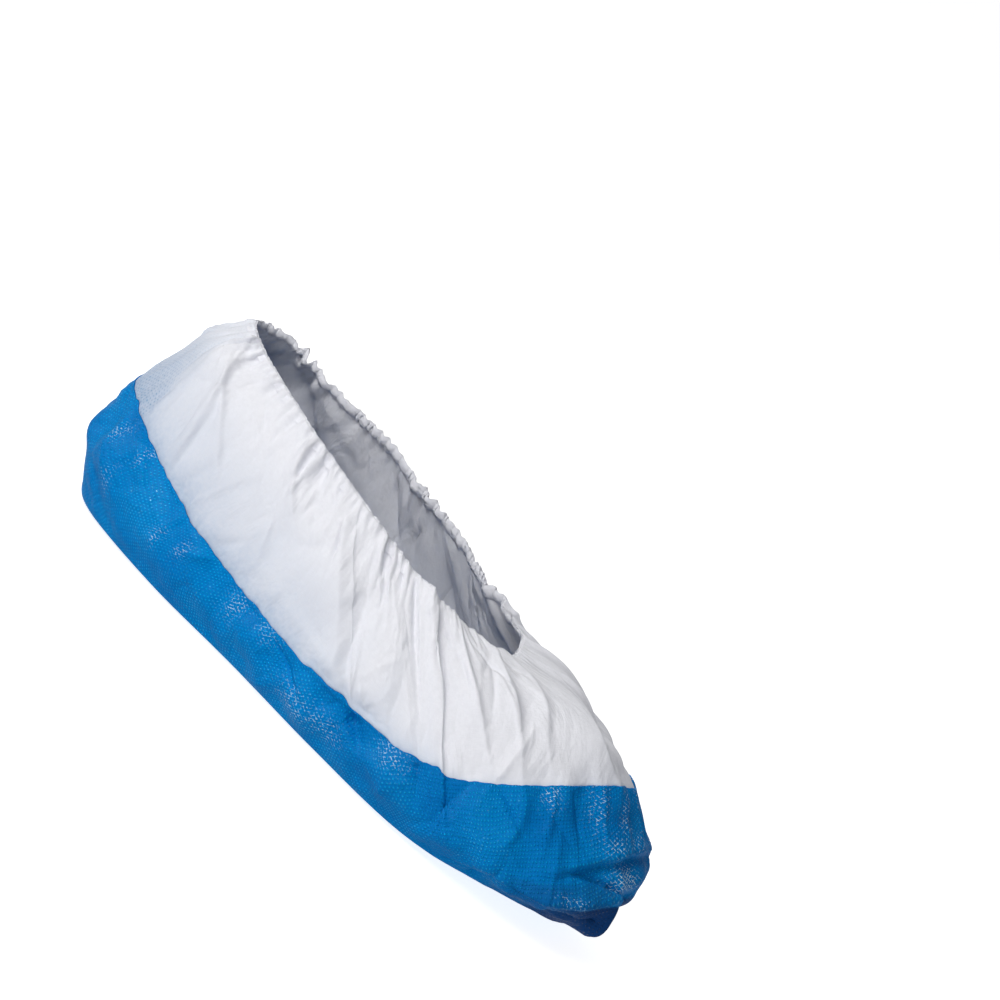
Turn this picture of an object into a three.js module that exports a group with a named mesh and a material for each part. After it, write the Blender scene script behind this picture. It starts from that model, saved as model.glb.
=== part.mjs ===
// Disposable shoe cover in its worn shape: a gathered nonwoven upper, an embossed film sole cover
// and an elastic hem. Millimetres, +X to the toe, +Y to the inner side of the foot, +Z up.

import * as THREE from 'three';

// Driving dimensions
const wall = 1.0; // thickness of the cloth and of the film
const gap = 0.3; // clearance between neighbouring pieces
const hemHeight = 6.0; // hem, measured up the wall
const hemThickness = 3.0; // hem, measured through the wall
const toeSwing = 9.0; // how far the toe leans to the inner side
const toeLift = 6.0; // rise of the toe's inner side, per side width below
const sideWidth = 50.0; // half width at the ball, the reach of the toe's lift
const swingStart = 130.0; // distance from the heel where the toe starts to lean
const swingEnd = 285.0; // distance from the heel where the lean is complete
const soleSag = 1.5; // how far the film under the sole bows down
const gatherHeight = 1.3; // ripple of the gathers at the opening
const gatherCount = 28; // gathers round the opening
const footSeat = { x: 75.0, z: wall - soleSag }; // inside of the sole under the ankle

// Mesh density
const columns = 112;
const upperRows = 10;
const sideRows = 5;
const soleStrips = 6;
const hemSides = 8;

// Sections round one side, from the toe to the heel. A point is [length from the heel, half width, height].
const sections = [
  { at: 'toe', edge: [276, 0, 6], belly: [291, 0, 21], seam: [260, 0, 66],
    shoulder: [233, 0, 77], rim: [190, 0, 73] },
  { at: 'toe corner', edge: [268, 24, 6], belly: [282, 29, 21], seam: [252, 25, 62],
    shoulder: [227, 17, 76], rim: [187, 11, 73.5] },
  { at: 'little toe', edge: [244, 38, 5], belly: [254, 47, 20], seam: [234, 43, 50],
    shoulder: [211, 32, 69], rim: [178, 20, 75] },
  { at: 'ball', edge: [208, 42, 1], belly: [213, 51, 17], seam: [206, 50, 34],
    shoulder: [186, 41, 58], rim: [162, 27, 79] },
  { at: 'front of waist', edge: [158, 36, 0], belly: [160, 46, 14], seam: [160, 47, 28],
    shoulder: [155, 43, 55], rim: [140, 31, 84] },
  { at: 'waist', edge: [110, 31, 0], belly: [110, 42, 14], seam: [112, 44, 29],
    shoulder: [116, 41, 60], rim: [110, 32, 90] },
  { at: 'front of heel', edge: [58, 29, 0], belly: [55, 39, 17], seam: [62, 40, 36],
    shoulder: [70, 37, 70], rim: [72, 29, 97] },
  { at: 'heel corner', edge: [16, 20, 1], belly: [2, 28, 23], seam: [12, 28, 48],
    shoulder: [18, 25, 84], rim: [32, 17, 103] },
  { at: 'heel', edge: [-2, 0, 2], belly: [-18, 0, 27], seam: [-14, 0, 54],
    shoulder: [-4, 0, 89], rim: [16, 0, 105] },
];

// The lines that run round the shoe are numbered as levels: 0 is the sole's edge and 4 the opening.
const lineNames = ['edge', 'belly', 'seam', 'shoulder', 'rim'];
const level = { edge: 0, belly: 1, seam: 2, shoulder: 3, rim: 4 };

// Folds of the outer side. Places are section numbers, 0 at the toe and 8 at the heel, at the opening and at the
// seam; from and to are levels; width is in sections; height is outwards in millimetres.
const folds = [
  { name: 'toe pinch', atRim: 0.3, atSeam: 0.3, from: -0.2, to: 1.3, width: 0.40, height: 7.0 },
  { name: 'vamp front', atRim: 0.9, atSeam: 1.35, from: 2.0, to: 4.6, width: 0.30, height: 2.2 },
  { name: 'vamp side', atRim: 1.7, atSeam: 1.9, from: 2.1, to: 4.6, width: 0.30, height: 2.6 },
  { name: 'vamp back', atRim: 2.35, atSeam: 2.75, from: 2.3, to: 4.6, width: 0.28, height: 2.8 },
  { name: 'long pleat', atRim: 3.2, atSeam: 2.85, from: 0.2, to: 4.6, width: 0.26, height: 3.6 },
  { name: 'short pleat', atRim: 3.7, atSeam: 3.0, from: 2.5, to: 4.6, width: 0.24, height: 2.4 },
  { name: 'side tuck', atRim: 4.4, atSeam: 3.5, from: 2.9, to: 4.6, width: 0.28, height: 2.2 },
  { name: 'side crease', atRim: 4.95, atSeam: 3.85, from: 1.7, to: 4.6, width: 0.28, height: 3.2 },
  { name: 'ankle hook', atRim: 5.85, atSeam: 4.9, from: 2.7, to: 4.6, width: 0.30, height: 2.8 },
  { name: 'heel drag', atRim: 7.2, atSeam: 5.6, from: 2.4, to: 4.3, width: 0.32, height: 2.4 },
  { name: 'heel corner', atRim: 7.4, atSeam: 6.9, from: 1.2, to: 4.3, width: 0.30, height: 2.0 },
];
const foldFade = 0.5; // length, in levels, over which a fold rises from the plain wall
const innerShift = 0.3; // the inner side's folds stand this far, in sections, behind the outer side's
const foldsAllRound = [
  ...folds,
  ...folds.slice(1).map((fold) => ({
    ...fold,
    atRim: 2 * (sections.length - 1) - fold.atRim - innerShift,
    atSeam: 2 * (sections.length - 1) - fold.atSeam - innerShift,
  })),
];

// Each line is a closed smooth curve: the outer side from toe to heel, then the inner side back to the toe.
const sectionCount = 2 * (sections.length - 1);
const lines = lineNames.map((name) => {
  const outer = sections.map((section) => section[name].map((value, axis) => (axis === 1 ? -value : value)));
  const inner = sections.slice(1, -1).reverse().map((section) => section[name]);
  const points = [...outer, ...inner].map(([x, y, z]) => {
    const lean = THREE.MathUtils.smoothstep(x, swingStart, swingEnd);
    const lift = toeLift * lean * (y / sideWidth) * Math.min(z / sideWidth, 1);
    return new THREE.Vector3(x, y + toeSwing * lean, z + lift);
  });
  return new THREE.CatmullRomCurve3(points, true, 'catmullrom', 0.5);
});

// The plain wall at a place round the shoe and a level up it.
function plainWall(place, height) {
  const turn = THREE.MathUtils.euclideanModulo(place / sectionCount, 1);
  const rib = new THREE.CatmullRomCurve3(lines.map((line) => line.getPoint(turn)), false, 'catmullrom', 0.5);
  return rib.getPoint(height / level.rim);
}

// The outward direction of a wall, from its slopes along both directions.
function outward(surface, place, height) {
  const step = 0.02;
  const low = Math.max(height - step, level.edge);
  const high = Math.min(height + step, level.rim);
  const along = surface(place + step, height).sub(surface(place - step, height));
  const up = surface(place, high).sub(surface(place, low));
  return up.cross(along).normalize();
}

// Height of one fold: a smooth ridge that follows a slanting line and fades at its ends.
function foldHeight(fold, place, height) {
  const rise = (height - level.seam) / (level.rim - level.seam);
  const ridge = THREE.MathUtils.lerp(fold.atSeam, fold.atRim, rise);
  const half = sectionCount / 2;
  const away = THREE.MathUtils.euclideanModulo(place - ridge + half, sectionCount) - half;
  if (Math.abs(away) >= fold.width) {
    return 0;
  }
  const start = THREE.MathUtils.smoothstep(height, fold.from, fold.from + foldFade);
  const end = 1 - THREE.MathUtils.smoothstep(height, fold.to - foldFade, fold.to);
  return fold.height * start * end * (0.5 + 0.5 * Math.cos((Math.PI * away) / fold.width));
}

// The folded wall: the plain wall pushed outwards by its folds and by the gathers near the opening.
function foldedWall(place, height) {
  const gathered = THREE.MathUtils.smoothstep(height, level.shoulder, level.rim);
  const ripple = Math.cos((2 * Math.PI * gatherCount * place) / sectionCount);
  const raised = foldsAllRound.reduce(
    (sum, fold) => sum + foldHeight(fold, place, height),
    gatherHeight * gathered * ripple,
  );
  return plainWall(place, height).addScaledVector(outward(plainWall, place, height), raised);
}

// The level where the upper ends and the hem stands, a hem's height below the opening.
function hemFoot(place) {
  const below = level.rim - 0.25;
  const reach = foldedWall(place, level.rim).distanceTo(foldedWall(place, below));
  return level.rim - ((level.rim - below) * (hemHeight + gap)) / reach;
}

// A band of the folded wall from one level to another, as rows of points with their outward directions.
function wallBand(fromLevel, toLevelAt, rows) {
  const band = { points: [], normals: [], faces: [] };
  for (let row = 0; row <= rows; row += 1) {
    for (let column = 0; column < columns; column += 1) {
      const place = (column * sectionCount) / columns;
      const height = THREE.MathUtils.lerp(fromLevel, toLevelAt(place), row / rows);
      band.points.push(foldedWall(place, height));
      band.normals.push(outward(foldedWall, place, height));
    }
  }
  for (let row = 0; row < rows; row += 1) {
    for (let column = 0; column < columns; column += 1) {
      const next = (column + 1) % columns;
      const [a, b] = [row * columns + column, row * columns + next];
      const [c, d] = [b + columns, a + columns];
      band.faces.push([a, c, b], [a, d, c]);
    }
  }
  return band;
}

// Closes the lowest row of a band with strips that run across under the sole.
function addSole(band) {
  const middle = columns / 2;
  const down = new THREE.Vector3(0, 0, -1);
  const strips = [];
  for (let column = 1; column < middle; column += 1) {
    const [near, far] = [column, columns - column];
    const strip = [near];
    for (let step = 1; step < soleStrips; step += 1) {
      const across = step / soleStrips;
      const bow = soleSag * Math.sin(Math.PI * across) * Math.sin((Math.PI * column) / middle);
      strip.push(band.points.length);
      band.points.push(band.points[near].clone().lerp(band.points[far], across).addScaledVector(down, bow));
      band.normals.push(down.clone());
    }
    strip.push(far);
    strips.push(strip);
  }
  for (let step = 0; step < soleStrips; step += 1) {
    band.faces.push([0, strips[0][step], strips[0][step + 1]]);
    for (let index = 0; index + 1 < strips.length; index += 1) {
      const [a, d] = [strips[index][step], strips[index][step + 1]];
      const [b, c] = [strips[index + 1][step], strips[index + 1][step + 1]];
      band.faces.push([a, b, c], [a, c, d]);
    }
    const last = strips[strips.length - 1];
    band.faces.push([last[step], middle, last[step + 1]]);
  }
}

// An indexed mesh from points and triangles.
function meshFrom(points, faces) {
  const geometry = new THREE.BufferGeometry();
  geometry.setAttribute('position', new THREE.Float32BufferAttribute(points.flatMap((p) => p.toArray()), 3));
  geometry.setIndex(faces.flat());
  geometry.computeVertexNormals();
  return geometry;
}

// Gives a sheet its thickness inwards and closes its open edges.
function thicken({ points, normals, faces }) {
  const count = points.length;
  const inner = points.map((point, index) => point.clone().addScaledVector(normals[index], -wall));
  const edgesOf = ([a, b, c]) => [[a, b], [b, c], [c, a]];
  const known = new Set(faces.flatMap(edgesOf).map(([a, b]) => `${a} ${b}`));
  const closing = faces.flatMap(edgesOf).filter(([a, b]) => !known.has(`${b} ${a}`));
  return meshFrom([...points, ...inner], [
    ...faces,
    ...faces.map(([a, b, c]) => [c + count, b + count, a + count]),
    ...closing.flatMap(([a, b]) => [[b, a, a + count], [b, a + count, b + count]]),
  ]);
}

// The hem: an oval roll that stands on the edge of the upper all the way round.
function hemRoll() {
  const points = [];
  const faces = [];
  for (let column = 0; column < columns; column += 1) {
    const place = (column * sectionCount) / columns;
    const edge = foldedWall(place, level.rim);
    const foot = foldedWall(place, hemFoot(place));
    const out = outward(foldedWall, place, hemFoot(place));
    const up = edge.sub(foot).normalize();
    const centre = foot.addScaledVector(out, -wall / 2).addScaledVector(up, gap + hemHeight / 2);
    for (let side = 0; side < hemSides; side += 1) {
      const angle = (2 * Math.PI * side) / hemSides;
      points.push(centre.clone()
        .addScaledVector(up, (Math.sin(angle) * hemHeight) / 2)
        .addScaledVector(out, (Math.cos(angle) * hemThickness) / 2));
    }
  }
  for (let column = 0; column < columns; column += 1) {
    const next = (column + 1) % columns;
    for (let side = 0; side < hemSides; side += 1) {
      const above = (side + 1) % hemSides;
      const [a, b] = [column * hemSides + side, next * hemSides + side];
      const [c, d] = [next * hemSides + above, column * hemSides + above];
      faces.push([a, c, b], [a, d, c]);
    }
  }
  return meshFrom(points, faces);
}

// Places one piece in the cover.
function piece(name, geometry, color, roughness) {
  const mesh = new THREE.Mesh(geometry, new THREE.MeshStandardMaterial({ color, roughness, metalness: 0 }));
  mesh.name = name;
  return mesh;
}

const seamClearance = 0.006; // half the gap at the seam, in levels
const soleBand = wallBand(level.edge, () => level.seam - seamClearance, sideRows);
addSole(soleBand);
const upperBand = wallBand(level.seam + seamClearance, hemFoot, upperRows);

const cover = new THREE.Group();
cover.position.set(-footSeat.x, 0, -footSeat.z);
cover.add(piece('upper', thicken(upperBand), 0xe9ebee, 0.9));
cover.add(piece('sole_cover', thicken(soleBand), 0x0a6fc2, 0.4));
cover.add(piece('elastic_hem', hemRoll(), 0xeceef0, 0.9));

const shoeCover = new THREE.Group();
shoeCover.add(cover);

export default shoeCover;
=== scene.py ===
import math
import bpy
import numpy as np
from mathutils import Matrix, Vector


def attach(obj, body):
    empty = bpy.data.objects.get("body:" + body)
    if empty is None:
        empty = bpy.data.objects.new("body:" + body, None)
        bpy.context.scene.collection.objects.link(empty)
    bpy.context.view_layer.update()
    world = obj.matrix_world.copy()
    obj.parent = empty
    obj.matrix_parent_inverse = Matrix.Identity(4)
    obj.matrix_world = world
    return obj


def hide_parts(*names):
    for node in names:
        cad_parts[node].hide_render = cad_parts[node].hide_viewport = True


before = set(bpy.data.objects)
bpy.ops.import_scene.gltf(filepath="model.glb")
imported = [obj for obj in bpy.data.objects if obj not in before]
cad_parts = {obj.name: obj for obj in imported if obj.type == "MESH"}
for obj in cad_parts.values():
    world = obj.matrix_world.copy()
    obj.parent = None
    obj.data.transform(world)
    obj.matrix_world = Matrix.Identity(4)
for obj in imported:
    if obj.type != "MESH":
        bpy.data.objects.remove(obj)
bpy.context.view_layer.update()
scene = bpy.context.scene
mm = 0.001

# lines round the cover from toe to heel: length from the heel, half width and height in mm
wornShape = {
    "edge": [(276, 0, 6), (268, 24, 6), (244, 38, 5), (208, 42, 1), (158, 36, 0),
             (110, 31, 0), (58, 29, 0), (16, 20, 1), (-2, 0, 2)],
    "belly": [(291, 0, 21), (282, 29, 21), (254, 47, 20), (213, 51, 17), (160, 46, 14),
              (110, 42, 14), (55, 39, 17), (2, 28, 23), (-18, 0, 27)],
    "seam": [(260, 0, 66), (252, 25, 62), (234, 43, 50), (206, 50, 34), (160, 47, 28),
             (112, 44, 29), (62, 40, 36), (12, 28, 48), (-14, 0, 54)],
    "shoulder": [(233, 0, 77), (227, 17, 76), (211, 32, 69), (186, 41, 58), (155, 43, 55),
                 (116, 41, 60), (70, 37, 70), (18, 25, 84), (-4, 0, 89)],
    "rim": [(190, 0, 73), (187, 11, 73.5), (178, 20, 75), (162, 27, 79), (140, 31, 84),
            (110, 32, 90), (72, 29, 97), (32, 17, 103), (16, 0, 105)],
}
# a spot on the wall has a place, counted in sections round from the toe along the outer side,
# and a level, counted in lines up from the edge
fit = {
    "toeSwing": 9.0,            # mm that the toe leans to the inner side
    "toeLift": 6.0,             # mm that the inner side of the toe rises
    "sideWidth": 50.0,          # mm, half width at the ball
    "swing": (130.0, 285.0),    # mm from the heel, where the lean starts and ends
    "seat": (75.0, 0.0, -0.5),  # mm, the spot that is the frame's origin
    "toePlace": 0,
    "heelPlace": 8,
    "seamLevel": 2.0,
    "hemLevel": 3.86,
    "rimLevel": 4.0,
}


def ease(low, high, value):
    # smooth step: 0 at low, 1 at high, a cubic between
    t = np.clip((value - low) / (high - low), 0, 1)
    return t * t * (3 - 2 * t)


def closedRing(points):
    # outer side from toe to heel and its mirror image back, leaned and lifted to the inner side at the toe
    half = np.array(points, float)
    ring = np.vstack([half * (1, -1, 1), half[-2:0:-1]])
    lean = ease(*fit["swing"], ring[:, 0])
    lift = fit["toeLift"] * lean * ring[:, 1] / fit["sideWidth"]
    ring[:, 2] += lift * np.minimum(ring[:, 2] / fit["sideWidth"], 1)
    ring[:, 1] += fit["toeSwing"] * lean
    return ring


rings = [closedRing(points) for points in wornShape.values()]
sections = len(rings[0])


def cubicThrough(a, b, c, d, t):
    # Catmull-Rom span from b to c: each end's slope is half the step between its neighbours
    return b + 0.5 * t * (c - a + t * (2 * a - 5 * b + 4 * c - d + t * (3 * (b - c) + d - a)))


def plainWall(place, level):
    # each line is read at the place round the cover, and the readings are joined upwards to the level
    index = np.floor(place).astype(int)
    t = (place - index)[..., None]
    read = [cubicThrough(*(ring[(index + k) % sections] for k in (-1, 0, 1, 2)), t) for ring in rings]
    read = np.stack([2 * read[0] - read[1], *read, 2 * read[-1] - read[-2]])
    span = np.clip(np.floor(level).astype(int), 0, len(rings) - 2)
    near = [np.take_along_axis(read, (span + k)[None, ..., None], axis=0)[0] for k in range(4)]
    return cubicThrough(*near, (level - span)[..., None])


def unit(vectors):
    # each vector divided by its length
    return vectors / np.maximum(np.linalg.norm(vectors, axis=-1, keepdims=True), 1e-9)


def wallSteps(place, level, nudge=0.01):
    # the plain wall's step for one section round and for one level up, by small differences,
    # and its outward direction, their cross product
    along = (plainWall(place + nudge, level) - plainWall(place - nudge, level)) / (2 * nudge)
    up = (plainWall(place, level + nudge) - plainWall(place, level - nudge)) / (2 * nudge)
    return along, up, unit(np.cross(up, along))


def stepSizes(place, level):
    # mm that a section is long and mm that a level is high: the lengths of the plain wall's steps
    along, up = wallSteps(place, level)[:2]
    return np.linalg.norm(along, axis=2), np.linalg.norm(up, axis=2)


def gridFrame(points):
    # rows go up the wall and columns round it: steps along and up by central differences,
    # and outwards as their cross product
    along = (np.roll(points, -1, 1) - np.roll(points, 1, 1)) / 2
    up = np.gradient(points, axis=0)
    return along, up, unit(np.cross(up, along))


def waves(place, level, seed, turns, rise, count):
    # smooth unevenness of about unit size: a sum of sines in random directions that close round the cover
    draw = np.random.default_rng(seed)
    total = np.zeros_like(place)
    for k in range(count):
        laps = draw.integers(turns[0], turns[1] + 1)
        climb = draw.uniform(-rise, rise)
        start = draw.uniform(0, 1)
        total += np.sin(2 * np.pi * (laps * place / sections + climb * level + start))
    return total / math.sqrt(count / 2)


def patchy(place, level, seed, look):
    # a share that varies over the wall: a mean with waves of some swing, kept between two limits
    wave = waves(place, level, seed, look["turns"], look["rise"], look["count"])
    return np.clip(look["mean"] + look["swing"] * wave, *look["limits"])


def around(place, at):
    # signed sections from a place, the short way round the cover
    return (place - at + sections / 2) % sections - sections / 2


def fallAway(off, ahead, behind, edge):
    # 1 on a line and e to the minus (distance / width) ^ edge beside it, with a width for each side
    return np.exp(-np.abs(off / np.where(off > 0, ahead, behind)) ** edge)


print("worn shape:", len(rings), "lines,", sections, "sections")

# folds of the outer side: path rows are place, level and height in mm, from the opening down;
# widths in mm of the gentle and the steep side, which faces the toe; edge is how round the ridge is,
# 1 for sharp and 2 for soft; lean is how far in mm the ridge tips over its steep side
foldColumns = ("widths", "edge", "lean", "path")
foldRows = {
    "longPleat": ((6.0, 1.0), 1.3, 0.9, [
        (3.30, 4.2, 2.0), (3.14, 3.8, 2.8), (3.03, 3.4, 3.0), (2.93, 2.85, 2.6), (2.83, 2.0, 1.7),
        (2.74, 1.5, 1.0), (2.48, 0.5, 0.0)]),
    "longPleatRoll": ((2.6, 2.6), 2.0, 0.0, [
        (3.40, 4.2, 1.0), (3.23, 3.8, 1.6), (3.11, 3.4, 1.7), (3.02, 2.85, 1.2), (2.94, 2.0, 0.7),
        (2.87, 1.5, 0.2), (2.7, 0.8, 0.0)]),
    "pleatGroove": ((2.2, 1.4), 1.3, 0.0, [
        (3.72, 4.2, -1.0), (3.58, 3.8, -2.2), (3.40, 3.3, -2.0), (3.25, 2.8, -0.8), (3.15, 2.4, 0.0)]),
    "sideCrease": ((3.0, 1.3), 1.3, 0.7, [
        (5.02, 4.2, 0.2), (4.78, 3.6, 0.5), (4.44, 3.1, 0.6), (3.95, 2.3, 0.6), (3.90, 1.95, 0.4),
        (3.86, 1.7, 0.0)]),
    "sideCreaseRoll": ((18.0, 6.0), 1.6, 0.0, [
        (5.19, 4.2, 0.8), (4.97, 3.6, 3.4), (4.63, 3.1, 4.6), (4.14, 2.3, 4.2), (4.09, 1.95, 2.0),
        (4.0, 1.6, 0.0)]),
    "sideTuck": ((6.0, 1.6), 1.3, 0.6, [
        (4.50, 4.2, 0.9), (4.35, 3.75, 1.5), (4.15, 3.4, 1.1), (4.0, 3.0, 0.0)]),
    "vampBack": ((8.0, 2.4), 1.15, 0.8, [
        (2.66, 4.2, 1.6), (2.60, 3.85, 2.6), (2.52, 3.3, 2.8), (2.43, 2.8, 2.3), (2.26, 2.29, 1.0),
        (2.2, 2.05, 0.0)]),
    "vampSide": ((9.0, 2.6), 1.15, 0.8, [
        (1.62, 4.2, 2.0), (1.85, 3.5, 2.9), (1.95, 2.9, 2.7), (1.85, 2.4, 1.3), (1.8, 2, 0.4),
        (1.75, 1.6, 0.0)]),
    "vampFront": ((9.0, 2.8), 1.15, 0.8, [
        (0.8, 4.2, 1.2), (1.2, 3.5, 2.4), (1.48, 2.94, 2.2), (1.45, 2.4, 1.0), (1.4, 2.1, 0.0)]),
    "vampCorner": ((14.0, 3.6), 1.05, 0.8, [
        (0.10, 4, 0.4), (0.45, 3.45, 2.9), (0.64, 2.96, 4.4), (0.66, 2.53, 4.5), (0.50, 2.2, 3.2),
        (0.30, 1.95, 1.2), (0.1, 1.7, 0.0)]),
    "ankleHook": ((6.0, 1.8), 1.3, 0.7, [
        (5.84, 4.1, 0.8), (5.80, 3.75, 2.0), (5.72, 3.4, 2.2), (5.50, 3.1, 1.0), (5.3, 2.9, 0.0)]),
    "ankleHollow": ((4.0, 6.0), 1.6, 0.0, [
        (5.55, 4.1, -0.6), (5.48, 3.8, -1.8), (5.42, 3.5, -1.6), (5.25, 3.2, 0.0)]),
    "heelCorner": ((9.0, 6.0), 1.1, 0.3, [
        (7.55, 4.1, 1.0), (7.2, 3.55, 2.0), (7, 3.1, 2.3), (7.02, 2.6, 2.0), (7.1, 2.2, 1.2),
        (7.15, 1.8, 0.0)]),
    "heelDrag": ((6.0, 1.6), 1.15, 0.6, [
        (7.35, 4.1, 1.0), (7.0, 3.6, 2.4), (6.70, 3.11, 2.6), (6.61, 2.55, 1.9), (6.53, 2.18, 0.8),
        (6.5, 2.0, 0.0)]),
    "heelLine": ((5.0, 1.6), 1.15, 0.4, [
        (7.2, 3.7, 0.0), (6.85, 3.3, 1.8), (6.54, 2.96, 2.2), (6.28, 2.65, 1.4), (6.0, 2.4, 0.0)]),
    "heelValley": ((8.0, 10.0), 1.8, 0.0, [
        (7.0, 3.8, 0.0), (6.75, 3.6, -1.2), (6.13, 3.17, -2.4), (5.63, 2.81, -2.2), (4.95, 2.5, -1.2),
        (4.6, 2.35, 0.0)]),
    "heelSwell": ((6.0, 5.0), 1.5, 0.0, [
        (6.80, 3.6, 0.0), (6.33, 3.3, 1.2), (6.0, 3.0, 0.8), (5.8, 2.7, 0.0)]),
    "filmDent": ((3.0, 4.0), 1.4, 0.0, [
        (3.92, 2.02, 0.0), (3.83, 1.8, -3.8), (3.72, 1.4, -3.0), (3.66, 1, 0.0)]),
    "heelGlint": ((6.0, 3.0), 1.15, 0.3, [
        (7.25, 1.95, 0.0), (7.1, 1.65, 2.0), (6.93, 1.35, 1.8), (6.75, 0.9, 0.0)]),
    "heelGlintLow": ((5.0, 2.0), 1.15, 0.3, [
        (6.8, 2, 0.0), (6.65, 1.8, 1.5), (6.5, 1.6, 1.4), (6.4, 1.3, 0.0)]),
    "heelFacet": ((9.0, 7.0), 1.1, 0.0, [
        (7.95, 1.9, 0.0), (7.70, 1.5, 0.6), (7.50, 1.1, 0.8), (7.45, 0.6, 0.4), (7.4, 0.2, 0.0)]),
    "toeGlint": ((6.0, 2.4), 1.15, 0.3, [
        (1.44, 2.05, 0.4), (1.4, 1.85, 1.7), (1.46, 1.6, 1.4), (1.6, 1.3, 0.0)]),
    "cornerRidge": ((7.0, 3.0), 1.15, 0.4, [
        (0.10, 2.1, 0.0), (0.16, 1.85, 1.4), (0.16, 1.65, 1.2), (0.1, 1.5, 0.0)]),
    "toeGlintBack": ((6.0, 3.0), 1.15, 0.3, [
        (1.85, 2.05, 0.4), (1.78, 1.75, 1.7), (1.9, 1.5, 1.7), (2.3, 1.1, 0.0)]),
    "toeGlintFront": ((5.0, 2.4), 1.15, 0.3, [
        (0.72, 2.05, 0.4), (0.64, 1.85, 1.8), (0.6, 1.65, 1.4), (0.5, 1.5, 0.0)]),
}
folds = {name: dict(zip(foldColumns, row)) for name, row in foldRows.items()}
# the inner side has the same folds but one, moved on by part of a section and a little lower
innerSide = {"shift": 0.28, "share": 0.9, "without": "vampCorner"}
sharpPleats = ("longPleat", "sideCrease")    # the grid's columns run along these


def foldPath(fold):
    # smooth cubic of place over level through the path, with its levels and heights from low to high
    places, levels, heights = np.array(fold["path"])[::-1].T
    return np.polyfit(levels, places, min(3, len(levels) - 1)), levels, heights


def foldField(place, level, mmRound, mmUp, without=None):
    # a fold is a ridge: its height falls away with the distance from its path, quickly on the steep side,
    # and the ridge is pushed over its steep side in proportion to its height
    height, push = np.zeros_like(place), np.zeros_like(place)
    for fold in (fold for name, fold in folds.items() if name != without):
        curve, levels, heights = foldPath(fold)
        held = np.clip(level, levels[0], levels[-1])
        slope = np.polyval(np.polyder(curve), held) * mmRound / mmUp
        toToe = -around(place, np.polyval(curve, held)) * mmRound / np.sqrt(1 + slope ** 2)
        gentle, steep = fold["widths"]
        rise = np.interp(level, levels, heights, left=0) * fallAway(toToe, steep, gentle, fold["edge"])
        height += rise
        push -= fold["lean"] * np.abs(rise) / np.abs(heights).max()
    return height, push


gathers = {
    "seed": 4,
    "sets": [(42, 1.0, 19), (93, 0.8, 13), (187, 0.42, 7)],   # count round, depth and reach down in mm
    "fullSection": 30.0,             # mm that a section is long where they have their full size
    "sizes": (0.35, 1.1),            # smallest and largest share of it, where they stand closer or wider
    "besideHeel": (0.4, 1.7, 0.9),   # extra share, and its middle and width in sections from the heel
    "wander": (0.9, 0.15, ((2, 22), 0.4, 18)),   # radians off even spacing, slant, and its waves
    "depth": {"mean": 0.8, "swing": 0.4, "limits": (0.35, 1.6), "turns": (3, 25), "rise": 0, "count": 8},
    "length": {"mean": 0.8, "swing": 0.5, "limits": (0.25, 1.8), "turns": (8, 50), "rise": 0, "count": 12},
    "fade": (1.2, 1.3),              # most of a gather that shows, and how quickly it thins out downwards
    "groove": 0.7,                   # under 1 for grooves narrower than the ridges
    "sunk": 1.2,                     # depths that a groove lies below the wall, of two from groove to ridge
}


def gatherField(place, level, mmRound, mmUp):
    # gathers on the elastic: round ridges with narrow grooves between, the absolute value of a sine to a
    # power, unevenly spaced, in clusters, the finer sets reaching less far down
    look = gathers
    draw = np.random.default_rng(look["seed"])
    height = np.zeros_like(place)
    size = np.clip(mmRound / look["fullSection"], *look["sizes"])
    extra, middle, wide = look["besideHeel"]
    size *= 1 + extra * np.exp(-((np.abs(around(place, fit["heelPlace"])) - middle) / wide) ** 2)
    most, thinning = look["fade"]
    radians, slant, shape = look["wander"]
    for count, depth, reach in look["sets"]:
        seed = int(draw.integers(1, 1000))
        wander = radians * waves(place, level * slant, seed, *shape)
        cluster = patchy(place, level, seed + 1, look["depth"])
        length = reach * patchy(place, level, seed + 2, look["length"])
        shown = np.clip(1 - (fit["rimLevel"] - level) * mmUp / (length * size), 0, most) ** thinning
        groove = np.abs(np.sin(count * np.pi * place / sections + wander)) ** look["groove"]
        height += depth * size * cluster * shown * (groove * 2 - look["sunk"])
    return height


# small creases in sets: levels from and to, turn as mean and spread, length and width in mm from and to,
# height as its spread in mm
creases = {
    "cloth": {"seed": 11, "count": 420, "levels": (2.12, 3.82), "turn": (0.1, 0.4),
              "length": (5, 18), "width": (0.6, 1.8), "height": 0.48},
    "drape": {"seed": 13, "count": 90, "levels": (2.2, 3.7), "turn": (0.15, 0.28),
              "length": (14, 30), "width": (2.0, 5.0), "height": 0.8},
    "rim": {"seed": 14, "count": 240, "levels": (3.30, 3.88), "turn": (0.0, 0.35),
            "length": (4, 11), "width": (0.7, 1.5), "height": 1.0},
    "film": {"seed": 12, "count": 170, "levels": (0.1, 1.9), "turn": (0.0, 0.9),
             "length": (6, 20), "width": (1.2, 4.0), "height": 1.0},
}
# puckers where the side crease meets the film: place, level, turn, length, width and height
puckers = [(3.80, 2.12, 0.2, 7, 1.0, -0.9), (3.74, 2.14, 0.7, 8, 0.9, -1.0),
           (3.68, 2.12, 1.1, 8, 0.9, -0.9), (3.62, 2.10, 1.35, 7, 0.8, -0.7)]
creaseFit = {
    "near": 70.0,             # mm from its middle past which a crease isn't worked out
    "fullSection": 28.0,      # mm that a section is long where creases have their full height
    "least": 0.25,            # share of it that is left where the sections are short
    "calm": 0.8,              # share that is taken away where the cloth lies taut
    "tautMiddle": -0.2,       # place over the toe where the cloth lies taut
    "tautReach": (2.3, 1.3),  # sections from there where it starts to, and where it fully does
    "tautLevels": (2.0, 2.1),
}


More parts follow.
